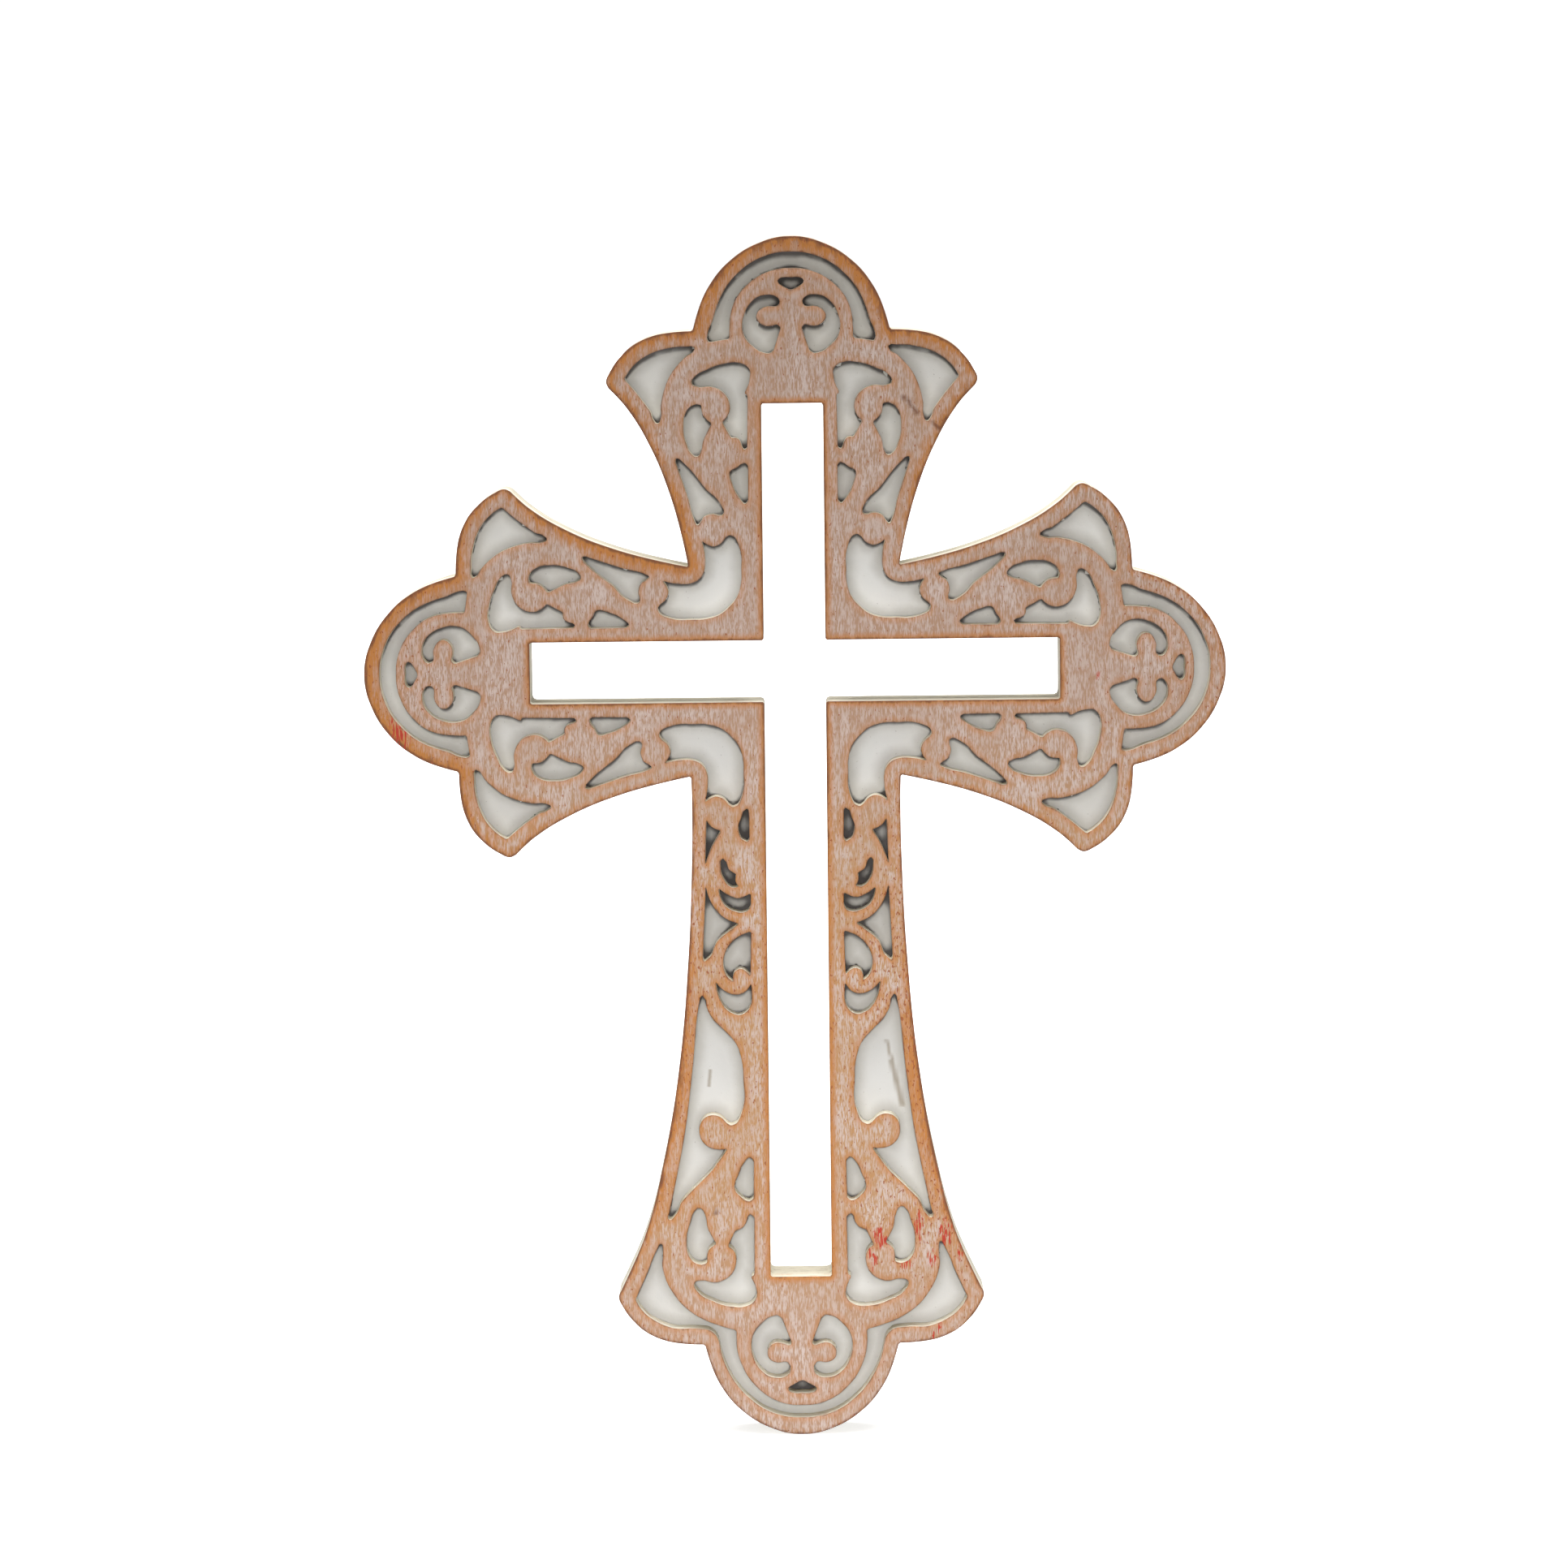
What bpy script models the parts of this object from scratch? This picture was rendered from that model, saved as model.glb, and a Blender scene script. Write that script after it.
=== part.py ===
"""Wall cross: a fretwork front panel fixed on a plain back board.

The cross hangs flat on a wall. Its front faces -Y and its back lies in the
plane y = 0. The origin is the point on the back where it hangs.
All outlines are drawn on one template, whose unit is set by the height.
"""
import math

import bmesh
import bpy
from mathutils import Matrix

# Driving sizes in metres
OVERALL_HEIGHT = 0.400
PANEL_THICKNESS = 0.0070
BOARD_THICKNESS = 0.0127
GLUE_GAP = 0.0003
BOARD_CORNER_RADIUS = 0.0013

# Driving sizes in template units
ARM_REACH = 142.2            # crossing centre to the crown of a side arm
TOP_ARM_EXTRA = 0.7          # how much longer the top arm is
LOWER_ARM_EXTRA = 114.2      # how much longer the lower arm is
OPENING_HALF_WIDTH = 10.2    # half the width of the cross-shaped opening
END_PLATE = 16.3             # from the end of the opening to the fleur
LOWER_END_PLATE = 13.0       # the same on the lower arm
HANGING_POINT = 110.0        # crossing centre up to the hanging point

# Reaches that the outlines below are drawn at
DRAWN_REACH = 142.2
DRAWN_LOWER_REACH = 256.4

LOWER_REACH = ARM_REACH + LOWER_ARM_EXTRA
TEMPLATE_HEIGHT = ARM_REACH + TOP_ARM_EXTRA + LOWER_REACH
UNIT = OVERALL_HEIGHT / TEMPLATE_HEIGHT
SPREAD = ARM_REACH / DRAWN_REACH
LOWER_STRETCH = LOWER_REACH / DRAWN_LOWER_REACH

CORNER = "VECTOR"
SMOOTH = "AUTO"

# Outlines of one half arm: sideways from its axis, outwards from the crossing.
# A third entry marks a corner, every other knot is a smooth one.

CROWN = (0.0, 142.2)
LOBE_EDGE = [
    (10.0, 140.2), (20.0, 134.2), (26.6, 126.5), (30.2, 119.0),
    (32.4, 111.5, CORNER), (42.0, 110.8), (50.0, 108.2), (55.6, 103.9),
    (60.1, 97.6), (61.0, 95.0), (60.2, 93.0, CORNER),
]
ARM_FLANK = [(54.8, 87.1), (47.8, 75.8), (41.6, 61.2), (37.2, 46.0)]
INNER_CORNER = 34.7

FLEUR_EYE = [
    (0.0, 128.7), (3.2, 128.6), (4.3, 127.5), (3.2, 126.1),
    (0.0, 124.6, CORNER),
]

FLEUR_CRESCENT = [
    (3.7, 120.9), (4.6, 119.3), (7.4, 119.3), (10.3, 118.1),
    (11.4, 116.1), (10.3, 113.9), (7.6, 112.8), (4.5, 113.4, CORNER),
    (3.4, 112.3, CORNER), (5.9, 104.8, CORNER), (7.5, 103.8),
    (12.7, 106.3), (15.7, 110.4), (15.4, 116.5), (11.8, 121.8),
    (7.8, 123.1), (4.8, 122.4),
]

ARCH_OUTER = [
    (9.5, 135.3), (17.0, 130.5), (22.8, 123.0), (25.9, 114.4),
    (27.7, 109.0),
]
ARCH_INNER = [
    (20.3, 108.7, CORNER), (20.2, 113.0), (18.9, 120.1), (14.5, 126.2),
    (7.8, 130.4),
]
ARCH_END = (27.1, 107.7, CORNER)
ARCH_CROWN_OUTER = (0.0, 137.1)
ARCH_CROWN_INNER = (0.0, 131.7)

LOBE_SAIL = [
    (31.6, 105.9), (34.5, 106.4), (41.0, 105.8), (48.2, 103.2),
    (53.2, 98.8), (55.0, 95.9, CORNER), (46.6, 85.2), (44.8, 81.3),
    (43.7, 81.5), (43.1, 87.0), (40.2, 96.5), (34.8, 103.0),
]

COMMA = [
    (13.6, 98.0), (16.1, 100.6), (21.5, 100.8), (28.0, 98.7),
    (32.5, 95.8), (32.6, 93.6), (27.2, 93.2), (22.8, 91.4),
    (20.4, 86.8), (21.3, 83.4), (23.0, 81.5, CORNER),
    (20.2, 76.3, CORNER), (18.0, 76.1), (16.8, 74.2), (16.0, 72.4),
    (14.9, 73.0, CORNER), (14.6, 90.2, CORNER), (15.6, 90.9, CORNER),
]

LEAF = [
    (29.8, 87.1, CORNER), (31.4, 87.5), (34.5, 85.5), (35.8, 80.5),
    (34.7, 74.0), (32.2, 70.3), (30.8, 70.5), (29.4, 75.2),
    (26.5, 81.1, CORNER), (29.3, 83.9),
]

LONG_SLOT = [
    (38.4, 69.6), (38.1, 67.2, CORNER), (34.4, 56.0), (32.0, 47.9),
    (31.2, 47.8), (29.5, 50.3), (26.3, 51.3), (23.4, 50.8),
    (22.8, 52.6), (28.6, 59.6), (37.0, 69.4),
]

SMALL_TRIANGLE = [
    (14.7, 67.1, CORNER), (15.8, 68.1), (18.4, 66.5), (20.6, 65.2),
    (20.3, 62.2), (16.9, 55.4), (15.7, 54.5), (14.8, 55.7, CORNER),
]

# The opening in each angle of the cross, the same on both sides of the
# diagonal. This half lies on the side of the top arm.

ANGLE_OPENING = [
    (21.4, 21.4), (18.2, 26.0), (17.3, 34.0), (18.3, 42.5),
    (21.0, 45.2), (23.6, 42.6), (26.8, 41.4), (30.2, 43.3, CORNER),
    (29.1, 36.0), (30.9, 30.9),
]

# Outlines of one half of the lower arm: sideways, down from the crossing.

LOWER_CROWN = (0.0, 256.4)
LOWER_FLANK = [
    (34.5, 42.0), (34.9, 67.0), (36.6, 99.0), (40.2, 134.5),
    (46.3, 168.0), (51.7, 188.0), (56.9, 200.3),
]

LOWER_EYE = [
    (0.0, 242.4), (3.2, 242.3), (4.8, 241.0), (3.7, 239.9),
    (0.0, 238.1, CORNER),
]

LOWER_CRESCENT = [
    (4.0, 234.9), (4.9, 231.8), (7.7, 232.0), (10.6, 231.0),
    (11.5, 228.8), (10.4, 226.2), (7.7, 225.3), (4.4, 226.3, CORNER),
    (3.3, 225.6, CORNER), (6.6, 217.0, CORNER), (8.2, 215.9),
    (13.6, 218.8), (16.6, 223.6), (16.2, 230.2), (12.4, 235.8),
    (8.0, 237.2), (4.9, 236.3),
]

LOWER_BAND_OUTER = [
    (9.5, 249.2), (17.5, 244.2), (23.6, 236.7), (27.0, 228.5),
    (28.2, 223.4), (31.2, 220.7), (41.5, 220.2), (49.0, 217.4),
    (54.0, 212.8), (55.3, 210.0, CORNER), (51.0, 200.3),
    (47.7, 192.6), (46.7, 191.3),
]
LOWER_BAND_INNER = [
    (46.0, 192.6), (46.3, 199.0), (43.0, 207.8), (36.4, 214.9),
    (28.2, 219.0), (21.8, 220.9, CORNER), (21.7, 227.0),
    (19.9, 233.2), (15.8, 239.6), (8.2, 245.1),
]
LOWER_BAND_CROWN_OUTER = (0.0, 250.7)
LOWER_BAND_CROWN_INNER = (0.0, 246.5)

LOWER_COMMA = [
    (14.8, 208.6), (17.1, 212.2), (23.0, 212.9), (29.5, 211.0),
    (35.4, 206.7), (35.3, 204.1), (29.0, 204.6), (23.8, 202.4),
    (21.6, 197.6), (22.4, 193.9), (24.3, 192.4, CORNER),
    (21.9, 187.3, CORNER), (19.4, 186.1), (18.0, 184.0),
    (17.0, 181.6), (15.4, 182.8, CORNER), (15.6, 202.2, CORNER),
    (16.8, 202.8, CORNER),
]

LOWER_LEAF = [
    (31.3, 197.9, CORNER), (33.2, 198.6), (36.6, 196.9),
    (38.1, 192.0), (36.7, 183.9), (34.3, 179.5), (32.6, 180.0),
    (31.0, 186.2), (28.2, 191.5, CORNER), (30.9, 193.8),
]

LOWER_TRIANGLE = [
    (15.6, 176.2, CORNER), (17.0, 177.3), (20.0, 175.6),
    (21.9, 172.8), (20.6, 168.4), (17.8, 163.1), (16.5, 162.5),
    (15.4, 163.8, CORNER),
]

LONG_SAIL = [
    (31.7, 107.9), (32.6, 108.6), (35.0, 128.7), (38.3, 154.5),
    (43.7, 180.7), (44.2, 183.0), (42.9, 183.2), (39.5, 177.2),
    (30.0, 167.5), (24.1, 159.5, CORNER), (28.0, 159.6),
    (32.0, 157.4), (33.4, 153.4), (32.0, 149.4), (28.5, 148.1),
    (25.6, 149.3), (22.8, 151.7), (19.8, 149.0), (18.5, 137.0),
    (20.8, 124.2), (28.0, 116.3), (30.4, 112.0),
]

ALMOND = [
    (15.7, 47.2, CORNER), (16.3, 45.5), (18.3, 48.7), (19.2, 53.0),
    (16.5, 56.7), (15.6, 55.6, CORNER),
]

UPPER_TRIANGLE = [
    (29.8, 49.3, CORNER), (30.4, 64.2, CORNER), (28.0, 58.0),
    (25.0, 52.9, CORNER), (28.1, 51.5),
]

CURLED_LEAF = [
    (24.5, 62.0), (25.3, 64.8), (24.0, 69.5), (21.4, 71.9),
    (19.4, 71.5, CORNER), (20.4, 69.6), (20.1, 67.4, CORNER),
    (22.6, 65.6),
]

UPPER_CRESCENT = [
    (15.4, 73.8, CORNER), (20.0, 75.4), (26.1, 72.0, CORNER),
    (24.7, 76.9), (20.4, 79.9), (16.4, 79.6), (15.4, 77.6, CORNER),
]

MIDDLE_TRIANGLE = [
    (30.3, 71.3, CORNER), (31.5, 95.3, CORNER), (30.9, 96.6),
    (26.8, 90.0), (19.4, 84.0, CORNER), (24.3, 81.8), (28.6, 76.6),
]

HOOKED_LEAF = [
    (15.4, 86.5, CORNER), (20.4, 88.7), (24.4, 94.6), (23.9, 101.0),
    (21.6, 103.3, CORNER), (21.3, 100.5), (18.7, 99.1),
    (15.8, 101.4, CORNER),
]

LOWER_CUP = [
    (15.6, 104.1, CORNER), (17.6, 106.7), (21.3, 107.6),
    (25.4, 105.6), (27.4, 103.4, CORNER), (25.9, 109.5),
    (20.4, 114.5), (16.5, 112.6), (15.4, 107.6),
]


def kind_of(knot):
    return knot[2] if len(knot) > 2 else SMOOTH


def on_arm(knots, arm, side):
    """Knots of a half arm, set on one of the four arms and on one side."""
    placed = []
    for knot in knots:
        across = knot[0] * side * SPREAD
        out = knot[1] * SPREAD
        if arm == "top":
            spot = (across, out + TOP_ARM_EXTRA)
        elif arm == "right":
            spot = (out, -across)
        elif arm == "left":
            spot = (-out, across)
        else:
            spot = (across, -knot[1] * LOWER_STRETCH)
        placed.append((spot[0], spot[1], kind_of(knot)))
    return placed


def mirrored(knots):
    """The same knots on the other side of the axis, in running order."""
    return [(-k[0], k[1], kind_of(k)) for k in reversed(knots)]


def swapped(knots):
    """The same knots on the other side of the diagonal, in running order."""
    return [(k[1], k[0], kind_of(k)) for k in reversed(knots)]


def outer_edge():
    """One loop around the whole cross, clockwise from its crown."""
    half = LOBE_EDGE + ARM_FLANK
    arm = mirrored(half) + [CROWN] + half
    drop = LOWER_CROWN[1] - CROWN[1]
    foot = [(k[0], k[1] + drop, kind_of(k)) for k in LOBE_EDGE]
    foot = mirrored(foot) + [LOWER_CROWN] + foot
    corner = INNER_CORNER * SPREAD
    loop = on_arm([CROWN] + half, "top", 1)
    loop.append((corner, corner, CORNER))
    loop += on_arm(arm, "right", 1)
    loop.append((corner, -corner, CORNER))
    loop += on_arm(LOWER_FLANK, "lower", 1)
    loop += on_arm(foot, "lower", -1)
    loop += on_arm(list(reversed(LOWER_FLANK)), "lower", -1)
    loop.append((-corner, -corner, CORNER))
    loop += on_arm(arm, "left", 1)
    loop.append((-corner, corner, CORNER))
    loop += on_arm(mirrored(half), "top", 1)
    return loop


def towards(start, end, distance):
    """A corner knot on the way from one point to another."""
    share = distance / math.dist(start, end)
    x = start[0] + (end[0] - start[0]) * share
    z = start[1] + (end[1] - start[1]) * share
    return (x, z, CORNER)


def cross_opening(rounding):
    """The cross-shaped opening, its corners cut to a radius if given."""
    w = OPENING_HALF_WIDTH
    fleur = min(knot[1] for knot in FLEUR_CRESCENT) * SPREAD
    lower_fleur = min(knot[1] for knot in LOWER_CRESCENT) * LOWER_STRETCH
    side = fleur - END_PLATE
    top = side + TOP_ARM_EXTRA
    low = lower_fleur - LOWER_END_PLATE
    corners = [
        (-w, top), (w, top), (w, w), (side, w), (side, -w), (w, -w),
        (w, -low), (-w, -low), (-w, -w), (-side, -w), (-side, w), (-w, w),
    ]
    if rounding == 0.0:
        return [(x, z, CORNER) for x, z in corners]
    loop = []
    for i, corner in enumerate(corners):
        before = corners[i - 1]
        after = corners[(i + 1) % len(corners)]
        loop.append(towards(corner, before, rounding))
        loop.append(towards(corner, after, rounding))
    return loop


def arm_openings(arm):
    """All openings of one of the three short arms."""
    loops = []
    arch = [ARCH_CROWN_OUTER] + ARCH_OUTER + [ARCH_END] + ARCH_INNER
    arch += [ARCH_CROWN_INNER] + mirrored(ARCH_INNER) + [
        (-ARCH_END[0], ARCH_END[1], CORNER)] + mirrored(ARCH_OUTER)
    loops.append((on_arm(arch, arm, 1), 2))
    eye = FLEUR_EYE + mirrored(FLEUR_EYE[1:-1])
    loops.append((on_arm(eye, arm, 1), 2))
    for side in (1, -1):
        for outline, steps in (
            (FLEUR_CRESCENT, 2),
            (LOBE_SAIL, 2),
            (COMMA, 2),
            (LEAF, 2),
            (LONG_SLOT, 2),
            (SMALL_TRIANGLE, 2),
        ):
            loops.append((on_arm(outline, arm, side), steps))
    return loops


def lower_openings():
    """All openings of the lower arm."""
    loops = []
    band = [LOWER_BAND_CROWN_OUTER] + LOWER_BAND_OUTER + LOWER_BAND_INNER
    band += [LOWER_BAND_CROWN_INNER] + mirrored(LOWER_BAND_INNER)
    band += mirrored(LOWER_BAND_OUTER)
    loops.append((on_arm(band, "lower", 1), 2))
    eye = LOWER_EYE + mirrored(LOWER_EYE[1:-1])
    loops.append((on_arm(eye, "lower", 1), 2))
    for side in (1, -1):
        for outline, steps in (
            (LOWER_CRESCENT, 2),
            (LOWER_COMMA, 2),
            (LOWER_LEAF, 2),
            (LOWER_TRIANGLE, 2),
            (LONG_SAIL, 2),
            (ALMOND, 2),
            (UPPER_TRIANGLE, 2),
            (CURLED_LEAF, 2),
            (UPPER_CRESCENT, 2),
            (MIDDLE_TRIANGLE, 2),
            (HOOKED_LEAF, 2),
            (LOWER_CUP, 2),
        ):
            loops.append((on_arm(outline, "lower", side), steps))
    return loops


def angle_openings():
    """The four openings in the angles between the arms."""
    half = ANGLE_OPENING
    whole = half + swapped(half[1:-1])
    loops = []
    for across in (1, -1):
        for up in (1, -1):
            x = across * SPREAD
            z = up * SPREAD
            loop = [(k[0] * x, k[1] * z, kind_of(k)) for k in whole]
            loops.append((loop, 2))
    return loops


def add_loop(curve, knots, steps):
    """Add one closed outline to a flat curve."""
    spline = curve.splines.new("BEZIER")
    spline.bezier_points.add(len(knots) - 1)
    spline.use_cyclic_u = True
    spline.resolution_u = steps
    for point, knot in zip(spline.bezier_points, knots):
        point.co = (knot[0] * UNIT, (knot[1] - HANGING_POINT) * UNIT, 0.0)
        point.handle_left_type = kind_of(knot)
        point.handle_right_type = kind_of(knot)


def solid_from(name, loops, thickness, back, material, home):
    """A flat solid of the given outlines, its back face at y = -back."""
    curve = bpy.data.curves.new(name + "_outline", "CURVE")
    curve.dimensions = "2D"
    curve.fill_mode = "BOTH"
    curve.extrude = thickness / 2
    for knots, steps in loops:
        add_loop(curve, knots, steps)
    drawn = bpy.data.objects.new(name + "_outline", curve)
    turn = Matrix.Rotation(math.radians(90), 4, "X")
    shift = Matrix.Translation((0.0, -back - thickness / 2, 0.0))
    drawn.matrix_world = shift @ turn
    bpy.context.scene.collection.objects.link(drawn)
    bpy.context.view_layer.update()
    depsgraph = bpy.context.evaluated_depsgraph_get()
    mesh = bpy.data.meshes.new_from_object(drawn.evaluated_get(depsgraph))
    mesh.transform(drawn.matrix_world)
    bpy.data.objects.remove(drawn)
    shape = bmesh.new()
    shape.from_mesh(mesh)
    bmesh.ops.remove_doubles(shape, verts=shape.verts, dist=0.000002)
    bmesh.ops.recalc_face_normals(shape, faces=shape.faces)
    shape.to_mesh(mesh)
    shape.free()
    mesh.name = name
    mesh.materials.clear()
    mesh.materials.append(material)
    solid = bpy.data.objects.new(name, mesh)
    home.objects.link(solid)
    return solid


def make_material(name, colour, roughness):
    material = bpy.data.materials.new(name)
    material.use_nodes = True
    shader = material.node_tree.nodes["Principled BSDF"]
    shader.inputs["Base Color"].default_value = colour
    shader.inputs["Roughness"].default_value = roughness
    shader.inputs["Metallic"].default_value = 0.0
    material.diffuse_color = colour
    return material


def main():
    for old in list(bpy.data.objects):
        bpy.data.objects.remove(old)
    home = bpy.data.collections.new("wall_cross")
    bpy.context.scene.collection.children.link(home)

    stained = make_material("stained_wood", (0.48, 0.30, 0.20, 1.0), 0.62)
    painted = make_material("painted_wood", (0.74, 0.73, 0.69, 1.0), 0.55)

    panel_loops = [(outer_edge(), 2), (cross_opening(0.0), 1)]
    for arm in ("top", "right", "left"):
        panel_loops += arm_openings(arm)
    panel_loops += lower_openings()
    panel_loops += angle_openings()
    solid_from(
        "fretwork_panel", panel_loops, PANEL_THICKNESS,
        BOARD_THICKNESS + GLUE_GAP, stained, home,
    )

    rounding = BOARD_CORNER_RADIUS / UNIT
    board_loops = [(outer_edge(), 2), (cross_opening(rounding), 1)]
    solid_from(
        "back_board", board_loops, BOARD_THICKNESS, 0.0, painted, home,
    )


main()
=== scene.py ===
"""Finish of the wall cross: its stained fretwork panel, its painted back board
and a plain white stage.

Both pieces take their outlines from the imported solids, are drawn again with finer
curves and eased arrises, and carry their distances from the edges as attributes,
which the paints and stains read. Sizes are in metres where no unit is given.
"""
import math

import bmesh
import bpy
from mathutils import Matrix, Vector, geometry
from mathutils.bvhtree import BVHTree


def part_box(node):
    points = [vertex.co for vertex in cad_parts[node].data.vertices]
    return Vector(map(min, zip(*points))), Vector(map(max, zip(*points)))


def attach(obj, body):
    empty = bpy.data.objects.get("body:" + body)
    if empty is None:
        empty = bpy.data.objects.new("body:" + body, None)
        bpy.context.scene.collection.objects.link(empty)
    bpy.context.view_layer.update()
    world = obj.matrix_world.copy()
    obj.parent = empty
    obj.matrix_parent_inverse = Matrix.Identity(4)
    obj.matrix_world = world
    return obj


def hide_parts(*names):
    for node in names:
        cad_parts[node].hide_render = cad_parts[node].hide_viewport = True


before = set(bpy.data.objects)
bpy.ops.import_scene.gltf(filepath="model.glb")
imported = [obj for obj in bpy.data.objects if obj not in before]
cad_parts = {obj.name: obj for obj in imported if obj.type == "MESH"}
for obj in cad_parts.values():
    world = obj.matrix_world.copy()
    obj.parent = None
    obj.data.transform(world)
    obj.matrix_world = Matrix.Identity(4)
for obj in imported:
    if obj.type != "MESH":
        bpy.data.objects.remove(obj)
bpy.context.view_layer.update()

bl_info = {
    "name": "Wall Cross Finish",
    "version": (1, 0, 0),
    "blender": (4, 5, 0),
    "location": "View3D > Sidebar > Wall Cross",
    "description": "Dresses the fretwork panel and back board of a wall cross",
    "category": "Object",
}

MILLIMETRE = 0.001
WELD = 0.000002          # vertices closer than this are one
HAIR_GAP = 0.00005       # between the panel's back and the board
SQUARE_ON = 0.5          # a normal with more than this along Y is a front or back
SHARP_EDGE = math.radians(50.0)

# Places on the cross, as (x, z)
CROSSING = Vector((0.0, -0.1102))
PANEL_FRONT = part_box("fretwork_panel")[0].y
BOARD_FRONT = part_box("back_board")[0].y
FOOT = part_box("fretwork_panel")[0].z
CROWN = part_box("fretwork_panel")[1].z

# Outlines are redrawn with these
CORNER_TURN = math.radians(50.0)    # a sharper turn than this is a corner
LONGEST_ROUND = 0.2                 # share of a straight run that a round may take
HANDLE_SHARE = 1.0 / 2.56           # a handle's share of the shorter run at its knot

# Flat faces are split in rounds, first only their longest edges
ROUNDS_OF_SPLITTING = 7
FIRST_SPLIT = 8.0
SPLIT_STEP = 1.6

# Directions in which the recess floors look for walls, the first one upwards
LOOK_STEP = 30      # degrees
LOOK_ROUND = [
    Vector((math.sin(math.radians(turn)), 0.0, math.cos(math.radians(turn))))
    for turn in range(0, 360, LOOK_STEP)
]
# In millimetres: the farthest wall that counts, and the farthest for the room round a place
FAR_WALL = 12.0
ROOM = 4.0
# How far off its wall a place under the panel looks from
NUDGE = 0.00005

# Marks fade out at this many half widths
OVAL_FADE = 1.3
LINE_FADE = 1.6

# Heights between which the finish changes
TAN_STAIN = (CROSSING.y - 0.005, CROSSING.y - 0.08)
TAN_ENDS = (FOOT + 0.02, FOOT + 0.09)
RUST_ENDS = (FOOT + 0.02, FOOT + 0.06)
DARK_WINDOW = (CROSSING.y - 0.03, CROSSING.y - 0.09)
DIM_PAINT = (CROSSING.y + 0.03, CROSSING.y - 0.08)

# Depths behind a front face between which its finish gives way to the next
PANEL_WALL = (0.00035, 0.0006)
BOARD_WALL = (0.00002, 0.0002)
BOARD_BACK = (-BOARD_FRONT - 0.0006, -BOARD_FRONT - 0.0001)

# How fine each pattern is across x, y and z, as features to the metre
PORES = (2600.0, 900.0, 420.0)
FINE_WASH = (2100.0, 900.0, 400.0)
BROAD_WASH = (600.0, 600.0, 90.0)
WASH_CLOUDS = (60.0, 60.0, 30.0)
SPECKS = (1350.0, 900.0, 620.0)
RED_STREAKS = (1800.0, 900.0, 220.0)
SCORCH = (420.0, 420.0, 110.0)
RAGGED_BAND = (520.0, 520.0, 120.0)
BROAD_RUBS = (75.0, 260.0, 75.0)
FINE_RUBS = (420.0, 1500.0, 420.0)
PAINT_DOTS = (1100.0, 1100.0, 1100.0)
PAINT_CLOUDS = (120.0, 120.0, 120.0)
BRUSH_MARKS = (900.0, 900.0, 700.0)
BARE_BOARD = (700.0, 700.0, 700.0)
BUMP_DEPTH = 0.0003

# The stage, its lights and the camera
SUN_PLACE = (0.0, 0.0, 3.0)
SUN_WIDTH = math.radians(60.0)
KEY_PLACE = (-0.5, -1.9, 1.4)
KEY_SIZE = 1.0
LOW_PLACE = (0.0, -1.95, -0.10)
LOW_AIM = (0.0, 0.0, FOOT - 0.05)
LOW_SIZE = 0.4
LOW_SPREAD = math.radians(30.0)
SEEN_WORLD = 1.05
FLOOR_ROUGHNESS = 0.8
WHITE = (1.0, 1.0, 1.0, 1.0)
SENSOR_WIDTH = 36.0     # millimetres

# Ovals on the two boards: x, z, half width, half height, strength
# Where red shows through
RED_WEAR = (
    (0.0265, -0.3010, 0.0027, 0.0038, 1.0),
    (0.0230, -0.3060, 0.0008, 0.0018, 1.0),
    (0.0246, -0.3090, 0.0010, 0.0028, 0.9),
    (0.0349, -0.3097, 0.0019, 0.0018, 1.0),
    (0.0394, -0.2963, 0.0016, 0.0050, 1.0),
    (0.0483, -0.2991, 0.0025, 0.0048, 0.8),
    (0.0438, -0.3076, 0.0018, 0.0032, 0.8),
    (0.0531, -0.3057, 0.0006, 0.0030, 0.7),
    (0.0440, -0.3338, 0.0007, 0.0011, 1.0),
    (0.0461, -0.3313, 0.0006, 0.0028, 0.9),
    (-0.1311, -0.1293, 0.0036, 0.0058, 0.8),
    (0.0999, -0.1131, 0.0008, 0.0009, 1.4),
)
# Where the rim is rusty and scorched
RUSTED = (
    (0.0, 0.012, 0.088, 0.075, 1.0),
    (-0.055, -0.070, 0.060, 0.030, 1.0),
    (-0.128, -0.110, 0.048, 0.085, 1.0),
    (0.0, -0.255, 0.085, 0.052, 1.0),
)
# Where the grain has more specks
SPECKED = (
    (0.034, -0.215, 0.024, 0.060, 1.0),
    (-0.036, -0.220, 0.030, 0.075, 0.6),
    (0.045, -0.285, 0.030, 0.040, 0.8),
    (0.0, 0.035, 0.070, 0.022, 0.4),
    (-0.125, -0.110, 0.030, 0.060, 0.35),
    (0.130, -0.110, 0.030, 0.060, 0.35),
)
# Where the recesses of the back board are darkest: painted shade, deeper and wider there, partly
# over dark unpainted board
DEEPER_SHADE_AND_UNPAINTED = (
    (0.0, -0.182, 0.040, 0.042, 1.2),
    (0.0260, 0.0080, 0.0070, 0.0130, 0.9),
    (0.0, 0.0225, 0.0070, 0.0050, 0.9),
    (0.0, -0.3520, 0.0070, 0.0050, 1.2),
    (0.0, 0.0180, 0.0600, 0.0200, 0.35),
)
# Brown scratches: start and end as (x, z), half width
PANEL_SCRATCHES = (
    ((0.0370, -0.0203), (0.0422, -0.0263), 0.0005),
    ((0.0457, -0.0284), (0.0487, -0.0307), 0.0005),
    ((-0.0280, -0.2915), (-0.0275, -0.2900), 0.0006),
)
BOARD_SCRATCHES = (
    ((0.0293, -0.2349), (0.0311, -0.2417), 0.0004),
    ((0.0309, -0.2420), (0.0344, -0.2567), 0.0007),
    ((-0.0297, -0.2445), (-0.0301, -0.2498), 0.0003),
)


def colour(name, description, value):
    """A colour setting with its plain default."""
    return bpy.props.FloatVectorProperty(
        name=name, description=description, subtype="COLOR", size=3,
        min=0.0, max=1.0, default=value,
    )


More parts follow.
